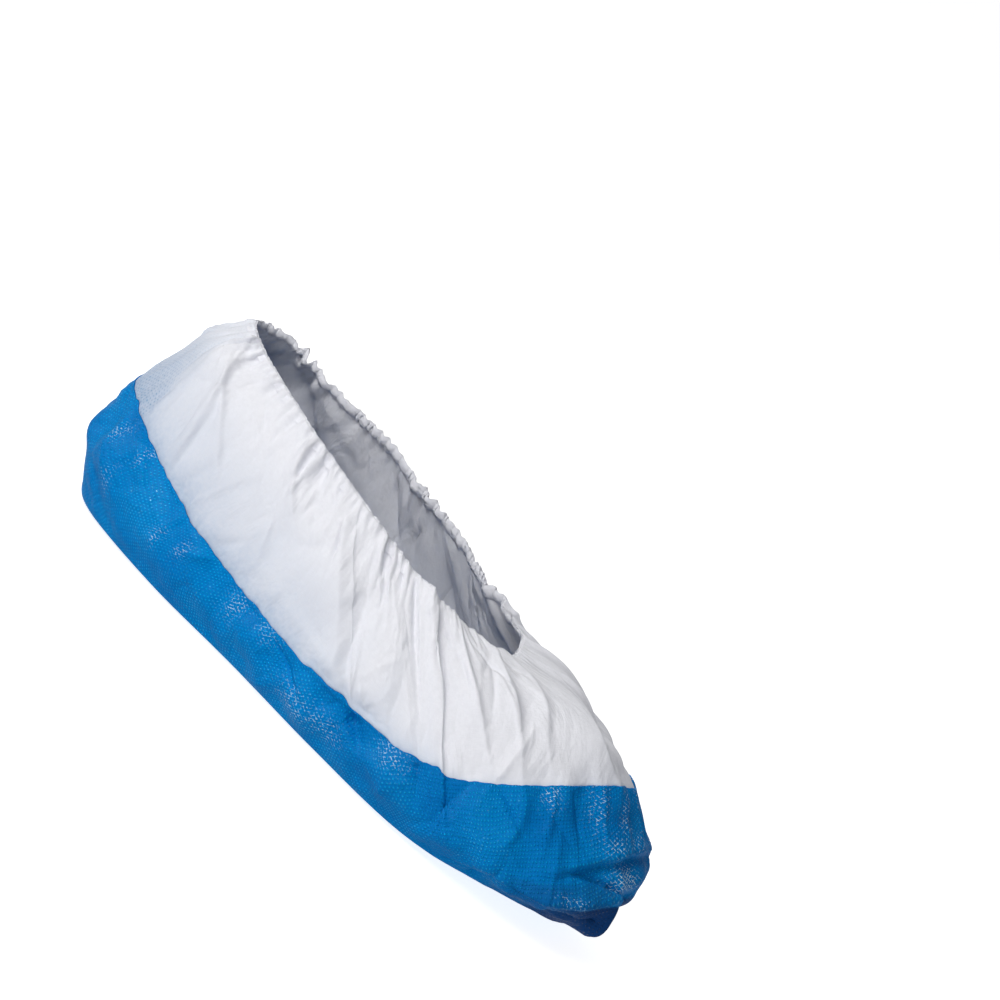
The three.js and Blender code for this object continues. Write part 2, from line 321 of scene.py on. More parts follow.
def creaseShare(place, level):
    # how much of a crease shows: all of it, less where the cloth lies taut over the toe
    taut = ease(*creaseFit["tautReach"], np.abs(around(place, creaseFit["tautMiddle"])))
    return 1 - creaseFit["calm"] * (taut * ease(*creaseFit["tautLevels"], level))


def scatteredCreases(look):
    # rows of one set drawn at random: place, level, turn, length, width and height
    draw = np.random.default_rng(look["seed"])
    return [(draw.uniform(0, sections), draw.uniform(*look["levels"]), draw.normal(*look["turn"]),
             draw.uniform(*look["length"]), draw.uniform(*look["width"]), draw.normal(0, look["height"]))
            for k in range(look["count"])]


def creaseField(place, level):
    # short lines over the wall, each falling away as e to the minus (across / width + (down / length)
    # squared), nearly upright on the cloth and any way on the film
    mmRound, mmUp = stepSizes(place, level)
    height = np.zeros_like(place)
    for at, over, turn, length, width, tall in sum(map(scatteredCreases, creases.values()), puckers):
        x, y = around(place, at) * mmRound, (level - over) * mmUp
        near = (np.abs(x) < creaseFit["near"]) & (np.abs(y) < creaseFit["near"])
        x, y = x[near], y[near]
        across = x * math.cos(turn) + y * math.sin(turn)
        down = y * math.cos(turn) - x * math.sin(turn)
        height[near] += tall * np.exp(-np.abs(across) / width - (down / length) ** 2)
    size = np.clip(mmRound / creaseFit["fullSection"], creaseFit["least"], 1)
    return height * size * creaseShare(place, level)


# ridges and hollows that run across the toe, the film's tuck under it among them: path rows are place, level
# and height in mm, widths in mm above and below, edge as for the folds
tuckColumns = ("widths", "edge", "path")
toeRows = {
    "farVamp": ((17.0, 15.0), 1.5, [
        (-3.4, 2.9, 0.0), (-2.3, 2.9, -5.0), (-1.6, 2.85, -7.5), (-0.8, 2.8, -7.5), (-0.1, 2.8, -3.4),
        (0.4, 2.8, 0.0)]),
    "farSeam": ((12.0, 20.0), 1.5, [
        (-2.6, 2.1, 0.0), (-1.7, 2.1, -4.0), (-0.8, 2.1, -5.5), (-0.1, 2.1, -4.0), (0.35, 2.1, 0.0)]),
    "toeBulge": ((12.0, 7.0), 1.5, [
        (-1.6, 1.28, 0.0), (-0.8, 1.32, 4.0), (-0.2, 1.32, 4.5), (0.3, 1.30, 3.0), (1.0, 1.3, 0.0)]),
    "softBand": ((5.0, 6.0), 1.5, [
        (-1.2, 1.74, 0.0), (0.0, 1.73, -1.2), (1.0, 1.70, -1.3), (2.2, 1.6, 0.0)]),
    "upperFold": ((7.0, 1.2), 1.1, [
        (-1.1, 1.40, 0.0), (-0.6, 1.46, 1.6), (-0.1, 1.52, 2.4), (0.37, 1.53, 2.6), (0.70, 1.47, 2.4),
        (1.14, 1.36, 1.4), (1.6, 1.25, 0.0)]),
    "foldHollow": ((1.0, 6.0), 1.1, [
        (-1.1, 1.35, 0.0), (-0.5, 1.42, -1.6), (-0.1, 1.47, -2.4), (0.3, 1.48, -2.6), (0.7, 1.42, -2.2),
        (1.1, 1.31, -1.0), (1.5, 1.22, 0.0)]),
    "lip": ((6.0, 0.9), 1.1, [
        (-0.3, 1.21, 0.0), (0.05, 1.22, 0.0), (0.25, 1.21, 1.2), (0.50, 1.18, 3.2), (0.94, 1.11, 3.4),
        (1.4, 1.0, 2.0), (1.8, 0.9, 0.0)]),
    "lipValley": ((3.0, 1.2), 1.1, [
        (-0.2, 1.20, 0.0), (0.1, 1.235, -2.2), (0.31, 1.265, -3.4), (0.51, 1.30, -3.8),
        (0.79, 1.345, -3.0), (1.0, 1.35, -1.6), (1.4, 1.33, 0.0)]),
    "toeCorner": ((6.0, 6.0), 1.5, [
        (-1.0, 1.18, 0.0), (-0.5, 1.20, -1.4), (-0.1, 1.22, -1.6), (0.25, 1.22, 0.0)]),
    "recess": ((7.0, 10.0), 1.5, [
        (-1.3, 0.92, 0.0), (-0.8, 0.92, -8.0), (-0.3, 0.94, -10.0), (0.05, 0.88, -6.5),
        (0.22, 0.78, -1.6), (0.45, 0.78, -6.0), (0.9, 0.74, -5.5), (1.35, 0.64, -3.0), (1.8, 0.5, 0.0)]),
    "pinchTip": ((6.0, 8.0), 1.5, [
        (-0.1, 0.62, 0.0), (0.2, 0.62, 1.6), (0.5, 0.52, 1.0), (0.9, 0.4, 0.0)]),
    "soleEdge": ((8.0, 8.0), 1.5, [
        (0.5, 0.2, 0.0), (1.0, 0.2, -2.0), (1.7, 0.25, -2.6), (2.5, 0.3, 0.0)]),
}
toeTuck = {name: dict(zip(tuckColumns, row)) for name, row in toeRows.items()}
# soft mends of the heel: place, level and height in mm, and how wide in sections and in levels
heelMends = [(7.75, 2.75, -3.6, 1.1, 0.5), (8.2, 3.45, -2.6, 0.9, 0.35), (7.8, 1.5, -2.4, 0.7, 0.2),
             (7.45, 1.2, -1.8, 0.5, 0.2), (7.2, 0.75, -2.0, 0.5, 0.25), (7.8, 0.05, 2.6, 0.8, 0.25)]


def toeField(place, level, mmUp):
    # each ridge or hollow follows a smooth line of level over place, and falls away above and below it;
    # a mend is a round bump
    off = around(place, fit["toePlace"])
    height = np.zeros_like(place)
    for row in toeTuck.values():
        places, levels, heights = np.array(row["path"]).T
        line = np.polyval(np.polyfit(places, levels, 3), np.clip(off, places[0], places[-1]))
        ridge = fallAway((level - line) * mmUp, *row["widths"], row["edge"])
        height += np.interp(off, places, heights) * ridge
    for at, over, tall, wide, deep in heelMends:
        height += tall * np.exp(-(around(place, at) / wide) ** 2 - ((level - over) / deep) ** 2)
    return height


filmEdge = {
    "pleats": (2.83, 3.90),        # places where the edge steps at a pleat
    "step": (0.055, 0.03, 0.5),    # levels of a step, and its length and reach in sections
    "farDip": (0.14, 15.2, 0.7),   # levels that the edge dips beyond the toe, with place and width
    # levels, seed and waves round, from slow to fine
    "uneven": [(0.013, 31, (4, 16)), (0.010, 32, (17, 60)), (0.006, 33, (70, 150))],
    "waveCount": 10,
    "atToe": 0.3,                  # share of the unevenness that is left over the toe
    "toeReach": (2.2, 3.6),        # sections from the toe where it grows to all of it
}


def seamWander(place):
    # the film's cut edge in levels: waves from slow to fine and a step at each pleat, straighter over the toe
    step, length, reach = filmEdge["step"]
    fromPleats = [around(place, pleat) for pleat in filmEdge["pleats"]]
    steps = sum(step * np.tanh(away / length) * np.exp(-(away / reach) ** 2) for away in fromPleats)
    dip, at, wide = filmEdge["farDip"]
    steps -= dip * np.exp(-(around(place, at) / wide) ** 2)
    uneven = sum(size * waves(place, 0 * place, seed, turns, 0, filmEdge["waveCount"])
                 for size, seed, turns in filmEdge["uneven"])
    away = ease(*filmEdge["toeReach"], np.abs(around(place, fit["toePlace"])))
    return uneven * (filmEdge["atToe"] + (1 - filmEdge["atToe"]) * away) + steps


wallLook = {
    "firmHeight": 2.0,                               # mm of fold that keeps its place fully
    "tuckPlaces": (2.0, 1.4),                        # sections from the toe and levels where the tuck
    "tuckLevels": (1.85, 1.65),                      # starts to keep its place, and where it fully does
    "clothLevels": (1.9, 2.4),                       # where the film's waves give way to the cloth's
    "edgeLevels": (0, 0.5),                          # where the film's waves grow from the edge
    "clothWaves": (0.7, (21, (3, 14), 0.5, 16)),     # mm, and seed, waves round, rise and count
    "filmWaves": (0.55, (22, (8, 34), 0.9, 20)),
}


def foldedWall(place, level):
    # the wall as cut, with what runs across the toe; from it the folded wall, moved out by folds, gathers and
    # waves and along by the leaning of the folds; and how firmly each spot keeps its fold
    along, up, out = wallSteps(place, level)
    mmRound, mmUp = np.linalg.norm(along, axis=2), np.linalg.norm(up, axis=2)
    height, push = foldField(place, level, mmRound, mmUp)
    opposite = (sections - place + innerSide["shift"]) % sections
    inHeight, inPush = foldField(opposite, level, mmRound, mmUp, innerSide["without"])
    tuck = toeField(place, level, mmUp)
    cut = plainWall(place, level) + out * tuck[..., None]
    height += innerSide["share"] * inHeight
    push -= innerSide["share"] * inPush
    underToe = ease(*wallLook["tuckPlaces"], np.abs(around(place, fit["toePlace"])))
    underToe *= ease(*wallLook["tuckLevels"], level)
    firm = np.maximum(np.clip(np.abs(height + tuck) / wallLook["firmHeight"], 0, 1) ** 2, underToe)
    cloth = ease(*wallLook["clothLevels"], level)
    height += gatherField(place, level, mmRound, mmUp)
    size, shape = wallLook["clothWaves"]
    height += size * cloth * waves(place, level, *shape)
    size, shape = wallLook["filmWaves"]
    height += size * (1 - cloth) * ease(*wallLook["edgeLevels"], level) * waves(place, level, *shape)
    return cut + out * height[..., None] + unit(along) * push[..., None], cut, firm


def placeGrid(columns, levels, dense=8, reach=0.05):
    # on each row the places of the sharp pleats keep their own columns, with close columns beside them,
    # and the rest spread evenly between
    lines = []
    for name in sharpPleats:
        curve, known = foldPath(folds[name])[:2]
        lines.append(np.polyval(curve, np.clip(levels, known[0], known[-1])))
    lines += [sections + innerSide["shift"] - line for line in lines[::-1]]
    beside = [line + step for line in lines for step in (-reach, 0, reach)]
    keys = np.stack([0 * levels, *beside, 0 * levels + sections], 1)
    wide = np.diff(keys.mean(0))
    close = np.isclose(wide, reach)
    counts = np.where(close, dense, 0)
    counts[~close] = np.floor(wide[~close] / wide[~close].sum() * (columns - counts.sum()))
    counts[0] += columns - counts.sum()
    marks = np.concatenate([[0], np.cumsum(counts)])
    column = np.arange(columns)
    k = np.searchsorted(marks, column, side="right") - 1
    return keys[:, k] + (keys[:, k + 1] - keys[:, k]) * (column - marks[k]) / counts[k]


relaxing = {
    "slantPull": 0.4,   # pull of the slanting threads beside the upright ones
    "stride": 0.18,     # share of the pull that moves a point in one step
    "carry": 0.86,      # share of its last move that a point keeps
}


def cutLengths(folded, cut, extra, bend):
    # lengths that the threads were cut to: round the cover as long as the folded wall and a little more,
    # up the wall as on the cut one, slanting by the cosine rule; threads over two and four cells are
    # straight, which makes the sheet resist bending
    along, up = gridFrame(cut)[:2]
    lean = (unit(along) * unit(up)).sum(2)
    lean = (lean[1:] + lean[:-1]) / 2
    ring = np.linalg.norm(np.roll(folded, -1, 1) - folded, axis=2) * (1 + extra)
    rise = np.linalg.norm(np.diff(cut, axis=0), axis=2)
    mean = (ring[1:] + ring[:-1]) / 2
    square, skew = mean ** 2 + rise ** 2, 2 * mean * rise * lean
    ringTwo = ring + np.roll(ring, -1, 1)
    riseTwo = rise[1:] + rise[:-1]
    slant = relaxing["slantPull"]
    # each thread: rows up and columns round to its other end, length and pull
    return [((0, 1), ring, 1.0), ((1, 0), rise, 1.0), ((1, 1), np.sqrt(square + skew), slant),
            ((1, -1), np.roll(np.sqrt(square - skew), 1, 1), slant), ((0, 2), ringTwo, bend),
            ((0, 4), ringTwo + np.roll(ringTwo, -2, 1), bend), ((2, 0), riseTwo, bend),
            ((4, 0), riseTwo[2:] + riseTwo[:-2], bend)]


def letGo(folded, threads, free, hold, steps):
    # cloth relaxing: every thread pulls or pushes its two ends towards its cut length, a hold keeps the folds
    # in place, and speed carries over from step to step
    rows = len(folded)
    shape, before = folded.copy(), folded.copy()
    for step in range(steps):
        move = hold[..., None] * (folded - shape)
        for (up, over), length, pull in threads:
            span = np.roll(shape, -over, 1)[up:] - shape[:rows - up]
            reach = np.maximum(np.linalg.norm(span, axis=2), 1e-6)
            share = (0.5 * pull * (1 - length / reach))[..., None] * span
            move[:rows - up] += share
            move[up:] -= np.roll(share, over, 1)
        stride = relaxing["stride"] * move + relaxing["carry"] * (shape - before)
        before, shape = shape, shape + free[..., None] * stride
    return shape


def crispen(shape, place, level, share, amount):
    # small creases are added outwards, and what stands out from its smoothed neighbourhood stands out
    # a little more, as in stiff paper
    small = creaseField(place, level)
    soft = shape
    for reach in (1, 2, 3):
        soft = (np.roll(soft, reach, 1) + 2 * soft + np.roll(soft, -reach, 1)) / 4
        soft = np.concatenate([soft[:1], (soft[:-2] + 2 * soft[1:-1] + soft[2:]) / 4, soft[-1:]])
    out = gridFrame(soft)[2]
    stand = ((shape - soft) * out).sum(2)
    return shape + out * (share * (small + amount * stand * creaseShare(place, level)))[..., None]


def settle(look, sheet, place, level, free, slack):
    # a folded sheet let go as cloth from its cut lengths, held more where its folds are firm, and crispened
    folded, cut, firm = sheet
    threads = cutLengths(folded, cut, slack, look["bend"])
    everywhere, more = look["hold"]
    shape = letGo(folded, threads, free, everywhere + more * firm, look["steps"])
    return crispen(shape, place, level, free, look["crisp"])


def newMesh(name, points, faces, uv, shades):
    # arrays in mm of the worn shape go into a mesh in metres of the frame, with the flat pattern as its map
    # and shade values per point
    mesh = bpy.data.meshes.new(name)
    mesh.from_pydata(((points - fit["seat"]) * mm).tolist(), [], faces)
    mesh.polygons.foreach_set("use_smooth", np.ones(len(mesh.polygons), bool))
    corners = (np.concatenate(uv) * mm).astype(np.float32)
    mesh.uv_layers.new(name="cut").data.foreach_set("uv", corners.ravel())
    for key, values in shades.items():
        spots = mesh.attributes.new(key, "FLOAT", "POINT").data
        spots.foreach_set("value", values.astype(np.float32).ravel())
    mesh.update()
    piece = bpy.data.objects.new(name, mesh)
    scene.collection.objects.link(piece)
    return piece


def bandFaces(rows, columns):
    # quads of a band that closes on itself round the cover, facing outwards
    low = np.arange(rows - 1)[:, None] * columns
    here = np.arange(columns)[None]
    after = (here + 1) % columns
    return np.stack([low + here, low + columns + here, low + columns + after, low + after], -1).reshape(-1, 4)


def flatMap(place, level, ringLevel):
    # the cut pattern in mm: distance round the cover along one level, height up the wall at the place,
    # and the whole way round
    ring = np.linspace(0, sections, 40 * sections + 1)
    step = np.linalg.norm(np.diff(plainWall(ring, ring * 0 + ringLevel), axis=0), axis=1)
    u = np.interp(place, ring, np.concatenate([[0], np.cumsum(step)]))
    up = stepSizes(place, level)[1]
    v = np.concatenate([0 * up[:1], np.cumsum((up[1:] + up[:-1]) / 2 * np.diff(level, axis=0), axis=0)])
    return u, v, step.sum()


def bandUv(u, v, whole, turned=1):
    # the flat map at each corner of the band's quads, in reverse order on an inner wall;
    # the last column's quads run on past the start
    u = np.concatenate([u, u[:, :1] + whole], 1)
    v = np.concatenate([v, v[:, :1]], 1)
    low, high = slice(None, -1), slice(1, None)
    corners = [(low, low), (high, low), (high, high), (low, high)][::turned]
    return np.stack([np.stack([u[c], v[c]], -1) for c in corners], 2).reshape(-1, 2)


edgeCorners = 3 + 4     # a triangle and a quad for each point of the inner ring


def joinRings(fine, coarse, upper):
    # faces between a ring of points and one with half as many inside it, along the upper or the lower edge
    a, b, c = fine[0::2], fine[1::2], np.roll(fine[0::2], -1)
    d, e = coarse, np.roll(coarse, -1)
    thin, wide = np.stack([b, a, d], -1), np.stack([c, b, d, e], -1)
    turned = 1 if upper else -1
    return thin[:, ::turned].tolist() + wide[:, ::turned].tolist()


upperLook = {
    "columns": 960,
    "rows": 73,
    "lap": 0.07,                # levels that the cloth runs on behind the film
    "rimGap": 0.01,             # levels that it ends below the rim
    "thickness": 0.8,           # mm
    "thinner": 0.5,             # mm less where the hem backs it
    "hemBlend": 0.15,           # levels over which it thins
    "tucked": 0.7,              # mm that its lower edge lies behind the film
    "tuckedLevels": (2.02, 1.92),
    "edgeLevels": (2.7, 2.0),   # where the rows start to follow the film's edge, and where they fully do
    "freeLevels": (2.03, 2.10),  # where the cloth starts to move freely, and where it fully does
    "slack": 0.008,             # share of extra cloth round the cover
    "slackLevels": (2.05, 2.5),
    "hold": (0.01, 0.7),        # pull back to the folds: everywhere, and more where they are firm
    "bend": 0.45,
    "steps": 110,
    "crisp": 0.8,
    "mapLevel": 3.0,            # level along which the pattern has its true length
    "colour": (0.815, 0.822, 0.876),
    # the film's blue seen through the cloth, also used as painted shade on the lower back
    "filmTintAndShadeColour": (0.16, 0.30, 0.50),
    "crinkle": 0.32,
    "flat": (0.40, 0.17),       # metres, with the area that the cut leaves of it
    "area": 0.040,
}
# blue that the film lends to the cloth above it, and a faint painted shade over the lower back, where back
# counts sections from the middle of the heel
filmTintAndBackShade = {
    "heelBack": (1.02, 0.80),       # the film runs up behind the cloth of the heel
    "ragged": (0.05, (41, (20, 60), 1.5, 12)),   # sections that its edge strays, and its waves
    "sideBack": (5.6, 4.6),         # the tint starts behind the toe
    "reach": (0.10, 0.14, 0.7),     # levels up: everywhere, more along the side, more at the heel
    "seed": 42,
    "patches": {"mean": 1, "swing": 0.15, "limits": (0.5, 1.6), "turns": (10, 40), "rise": 0.5, "count": 14},
    "strength": (0.10, 0.50),       # everywhere, more along the side
    "hazeAndShade": 0.20,                   # faint blue-grey over the lower back: partly the film showing through, partly painted shade
    "hazeBack": (4.4, 3.0),
    "hazeLevels": (3.5, 2.4),
}


def upperShades(place, level):
    # how much of the film's blue shows: it dies away upwards from the seam, e to the minus (levels / reach),
    # with a faint haze over the back that is partly painted shade; and where the film backs the cloth
    tint = filmTintAndBackShade
    back = np.abs(around(place, fit["heelPlace"]))
    stray, shape = tint["ragged"]
    heel = ease(*tint["heelBack"], back + stray * waves(place, level, *shape))
    side = ease(*tint["sideBack"], back)
    base, atSide, atHeel = tint["reach"]
    reach = (base + atSide * side + atHeel * heel) * patchy(place, level, tint["seed"], tint["patches"])
    least, more = tint["strength"]
    filmTintAndShade = np.exp(-np.maximum(level - fit["seamLevel"], 0) / reach) * (least + more * side)
    filmTintAndShade += tint["hazeAndShade"] * ease(*tint["hazeBack"], back) * ease(*tint["hazeLevels"], level)
    return {"filmTintAndShade": filmTintAndShade, "onFilm": heel}


def makeUpper(look):
    # the folded wall from behind the film to the rim, settled as cloth, with an inner wall of half the points
    # each way a thickness inside it
    rows, columns = look["rows"], look["columns"]
    levels = np.linspace(fit["seamLevel"] - look["lap"], fit["rimLevel"] - look["rimGap"], rows)
    place = placeGrid(columns, levels)
    level = levels[:, None] + ease(*look["edgeLevels"], levels)[:, None] * seamWander(place[:1])
    sheet = foldedWall(place, level)
    level = np.repeat(levels[:, None], columns, 1)
    free = ease(*look["freeLevels"], level) * ease(fit["rimLevel"], fit["hemLevel"], level)
    outer = settle(look, sheet, place, level, free, look["slack"] * ease(*look["slackLevels"], level))
    outer -= gridFrame(outer)[2] * (look["tucked"] * ease(*look["tuckedLevels"], level))[..., None]
    atHem = ease(fit["hemLevel"] - look["hemBlend"], fit["hemLevel"], level)
    inside = look["thickness"] - look["thinner"] * atHem
    inner = (outer - gridFrame(outer)[2] * inside[..., None])[::2, ::2]
    count, half = rows * columns, columns // 2
    u, v, whole = flatMap(place, level, look["mapLevel"])
    uv = [bandUv(u, v, whole), bandUv(u[::2, ::2], v[::2, ::2], whole, -1)]
    uv.append(np.zeros((2 * half * edgeCorners, 2)))
    faces = bandFaces(rows, columns).tolist() + (count + bandFaces(rows // 2 + 1, half)[:, ::-1]).tolist()
    faces += joinRings(np.arange(columns), count + np.arange(half), False)
    faces += joinRings(count - columns + np.arange(columns), count + rows // 2 * half + np.arange(half), True)
    points = np.vstack([outer.reshape(-1, 3), inner.reshape(-1, 3)])
    shades = {key: np.concatenate([grid.ravel(), grid[::2, ::2].ravel()])
              for key, grid in upperShades(place, level).items()}
    return newMesh("nonwovenUpper", points, faces, uv, shades)


upper = makeUpper(upperLook)
print("upper:", len(upper.data.polygons), "faces")

filmLook = {
    "columns": 800,
    "rows": 85,
    "rowLevels": ((0, 0.21, 0.77, 1), (0, 0.80, 1.62, 2)),   # shares of the rows and their levels
    "across": 16,               # strips across the sole
    "proud": 0.5,               # mm that the film stands outside the cloth
    "thickness": 0.5,           # mm
    "soleSag": 1.5,             # mm
    "freeLow": (0.0, 0.2),      # levels where the film starts to move freely, and where it fully does,
    "freeHigh": (2.0, 1.9),     # from the edge up and from the seam down
    "slack": 0.004,
    "hold": (0.01, 0.5),
    "bend": 0.35,
    "steps": 60,
    "crisp": 0.6,
    "mapLevel": 1.2,
    "colour": (0.0, 0.176, 0.535),
    "pale": (0.0, 0.226, 0.615),
    # paler emboss points: partly their own paler film, partly a painted highlight for the glints off the
    # emboss
    "raised": (0.0, 0.43, 0.87),
    # pale colour of the painted glint strokes
    "paintedGlint": (0.60, 0.80, 0.95),
    # navy of the doubled film, also used as painted shade over the toe and under its lip
    "doubledAndShaded": (0.007, 0.05, 0.18),
    "pitch": 1.7,               # mm between the emboss points
    "flat": (0.42, 0.20),
    "area": 0.055,
    # spots of painted glint strokes: place, level, size in mm round and up
    "tight": [(7.02, 1.62, 4, 8), (6.67, 1.86, 3, 8), (6.71, 0.92, 3, 7), (6.08, 1.18, 3, 6),
              (5.84, 1.55, 3, 6), (5.23, 1.68, 5, 9), (4.86, 1.93, 7, 4), (4.34, 0.80, 9, 7),
              (3.96, 0.87, 9, 6), (3.36, 1.80, 8, 6), (1.42, 1.90, 4, 7), (0.70, 1.82, 4, 9),
              (0.24, 1.76, 3, 9), (0.45, 1.56, 6, 4), (0.05, 1.38, 6, 4), (0.28, 1.31, 7, 3),
              (1.02, 1.13, 8, 2)],
}
# the film's painted shade, partly where it lies double: off counts sections from the toe, under counts levels
# from the tuck's lip
filmShade = {
    "doubledUnder": (0.0, -0.06),     # the film lies double below the lip, darkened further there by painted shade
    "doubledOff": (0.4, 1.0),         # middle and half width of the doubled corner
    "lip": 0.48,                      # painted shade above the lip
    "lipUnder": (0.26, 0.14),
    "lipOff": ((0.2, 0.6), (2.3, 1.5)),
    "toe": 0.13,                      # painted shade over the whole toe
    "toeOff": (5.0, 3.0),
}


def filmShades(place, level, look):
    # where the film is darkened, the most of three soft areas: the doubled film below the lip, partly painted
    # shade there, and painted shade above the lip and over the whole toe; and where painted glints go, a sum
    # of round spots on both sides
    shade = filmShade
    off = around(place, fit["toePlace"])
    under = level - np.interp(off, *np.array(toeTuck["lip"]["path"]).T[:2])
    middle, half = shade["doubledOff"]
    doubledAndShaded = ease(*shade["doubledUnder"], under) * np.exp(-((off - middle) / half) ** 4)
    rising, falling = (ease(*limits, off) for limits in shade["lipOff"])
    aboveLip = shade["lip"] * ease(*shade["lipUnder"], under) * rising * falling
    doubledAndShaded = np.maximum(np.maximum(doubledAndShaded, aboveLip), shade["toe"] * ease(*shade["toeOff"], np.abs(off)))
    mmRound, mmUp = stepSizes(place, level)
    tight = sum(np.exp(-(around(place, at) * mmRound / wide) ** 2 - ((level - over) * mmUp / tall) ** 2)
                for spot, over, wide, tall in look["tight"]
                for at in (spot, sections + innerSide["shift"] - spot))
    return {"doubledAndShaded": doubledAndShaded, "tight": tight}


def soleStrips(wall, across, sag):
    # the wall's points and those of the sole: straight strips from the outer edge to the inner edge,
    # bowed down between by half a sine each way
    half = wall.shape[1] // 2
    share = np.linspace(0, 1, across + 1)[None, 1:-1, None]
    near, far = wall[0, 1:half, None], wall[0, :half:-1, None]
    sole = near + (far - near) * share
    sole[..., 2] -= sag * np.sin(np.pi * share[..., 0]) * np.sin(np.pi * np.arange(1, half) / half)[:, None]
    return np.vstack([wall.reshape(-1, 3), sole.reshape(-1, 3)])


def soleFaces(rows, columns, across):
    # quads between the strips and a fan of triangles at the toe and at the heel, facing down
    half = columns // 2
    strip = rows * columns + np.arange((half - 1) * (across - 1)).reshape(half - 1, across - 1)
    strip = np.hstack([np.arange(1, half)[:, None], strip, np.arange(columns - 1, half, -1)[:, None]])
    quads = np.stack([strip[:-1, :-1], strip[1:, :-1], strip[1:, 1:], strip[:-1, 1:]], -1).reshape(-1, 4)
    toe = np.stack([np.zeros(across, int), strip[0, :-1], strip[0, 1:]], -1)
    heel = np.stack([strip[-1, :-1], np.full(across, half), strip[-1, 1:]], -1)
    return quads, toe, heel


def makeFilm(look):
    # the folded wall from the edge to the seam, settled as a sheet and closed below by the sole's strips,
    # as an outer shell and an inner one of half the points each way
    rows, columns, across = look["rows"], look["columns"], look["across"]
    levels = np.interp(np.linspace(0, 1, rows), *look["rowLevels"])
    place = placeGrid(columns, levels)
    level = levels[:, None] * (1 + seamWander(place[-1:]) / fit["seamLevel"])
    free = ease(*look["freeLow"], level) * ease(*look["freeHigh"], level)
    side = settle(look, foldedWall(place, level), place, level, free, look["slack"])
    out = gridFrame(side)[2]
    u, v, whole = flatMap(place, level, look["mapLevel"])
    faces, uv, shells = [], [], []
    for step, offset, turned in ((1, look["proud"], 1), (2, look["proud"] - look["thickness"], -1)):
        wall = (side + out * offset)[::step, ::step]
        shell = soleStrips(wall, across // step, look["soleSag"])
        if step == 2:
            shell[wall.shape[0] * wall.shape[1]:, 2] += look["thickness"]
        first = sum(len(points) for points in shells)
        faces += (first + bandFaces(*wall.shape[:2])[:, ::turned]).tolist()
        uv.append(bandUv(u[::step, ::step], v[::step, ::step], whole, turned))
        for group in soleFaces(*wall.shape[:2], across // step):
            faces += (first + group[:, ::turned]).tolist()
            uv.append(shell[group[:, ::turned].ravel(), :2])
        shells.append(shell)
    half = columns // 2
    outerTop = (rows - 1) * columns + np.arange(columns)
    innerTop = len(shells[0]) + rows // 2 * half + np.arange(half)
    faces += joinRings(outerTop, innerTop, True)
    uv.append(np.zeros((half * edgeCorners, 2)))
    shades = {}
    for key, grid in filmShades(place, level, look).items():
        walls = (grid.ravel(), grid[::2, ::2].ravel())
        shades[key] = np.concatenate([np.pad(w, (0, len(shell) - w.size)) for w, shell in zip(walls, shells)])
    return newMesh("filmSoleCover", np.vstack(shells), faces, uv, shades)


film = makeFilm(filmLook)
print("film:", len(film.data.polygons), "faces")

hemLook = {
    "columns": 960,
    "rows": 12,
    "lap": 0.02,           # levels that the hem starts below its line
    "behind": 0.45,        # mm that its outside lies behind the cloth's face
    "depth": 0.8,          # mm from the cloth's face to its inside at the edges
    "thickness": 1.2,      # mm more in the middle
    "fullness": 0.7,       # under 1 for a fuller roll
    "crown": 0.35,         # mm that it rises above the rim
    "turn": 0.5,           # mm of pattern over the crown to either side
    "mapLevel": 3.9,
    "colour": (0.805, 0.812, 0.866),
    "crinkle": 0.35,
}


def makeHem(look):
    # the cloth's edge turned in over the elastic: up behind the wall, over the edge, and down the inside a
    # thickness away that swells as half a sine
    columns, rows = look["columns"], look["rows"]
    levels = np.linspace(fit["hemLevel"] - look["lap"], fit["rimLevel"], rows)
    place, level = placeGrid(columns, levels), np.repeat(levels[:, None], columns, 1)
    wall = foldedWall(place, level)[0]
    up, out = gridFrame(wall)[1:]
    share = np.linspace(0, 1, rows)[:, None, None]
    bulge = np.sin(np.pi * share) ** look["fullness"]
    outside = wall - out * look["behind"]
    inside = wall - out * (look["depth"] + look["thickness"] * bulge)
    crown = (wall[-1:] + inside[-1:]) / 2 + unit(up[-1:]) * look["crown"]
    points = np.concatenate([outside, crown, inside[::-1]])
    loop = len(points)
    faces = bandFaces(loop + 1, columns) % (loop * columns)
    u, v, whole = flatMap(place, level, look["mapLevel"])
    turn = look["turn"]
    rowsUp = np.concatenate([v, v[-1:] + turn, 2 * v[-1:] + 2 * turn - v[::-1], 2 * v[-1:] + 4 * turn])
    uv = bandUv(np.concatenate([u, u[-1:], u[::-1], u[:1]]), rowsUp, whole)
    return newMesh("gatheredHem", points.reshape(-1, 3), faces.tolist(), [uv], {})


hem = makeHem(hemLook)
print("hem:", len(hem.data.polygons), "faces")


def newMaterial(name, roughness):
    # a material with its own nodes, and its shader
    material = bpy.data.materials.new(name)
    material.use_nodes = True
    shader = material.node_tree.nodes["Principled BSDF"]
    shader.inputs["Roughness"].default_value = roughness
    return material, shader


def fillSocket(tree, socket, value):
    # a socket takes a link from another node's output, or a plain value
    if isinstance(value, bpy.types.NodeSocket):
        tree.links.new(value, socket)
    else:
        socket.default_value = value


def addNode(tree, kind, links=None, **settings):
    # a node with its settings, and its inputs filled by number or name
    node = tree.nodes.new(kind)
    for key, value in settings.items():
        setattr(node, key, value)
    for key, value in (links or {}).items():
        fillSocket(tree, node.inputs[key], value)
    return node


def maths(tree, operation, *values):
    # the operation on one or two values
    return addNode(tree, "ShaderNodeMath", dict(enumerate(values)), operation=operation).outputs[0]


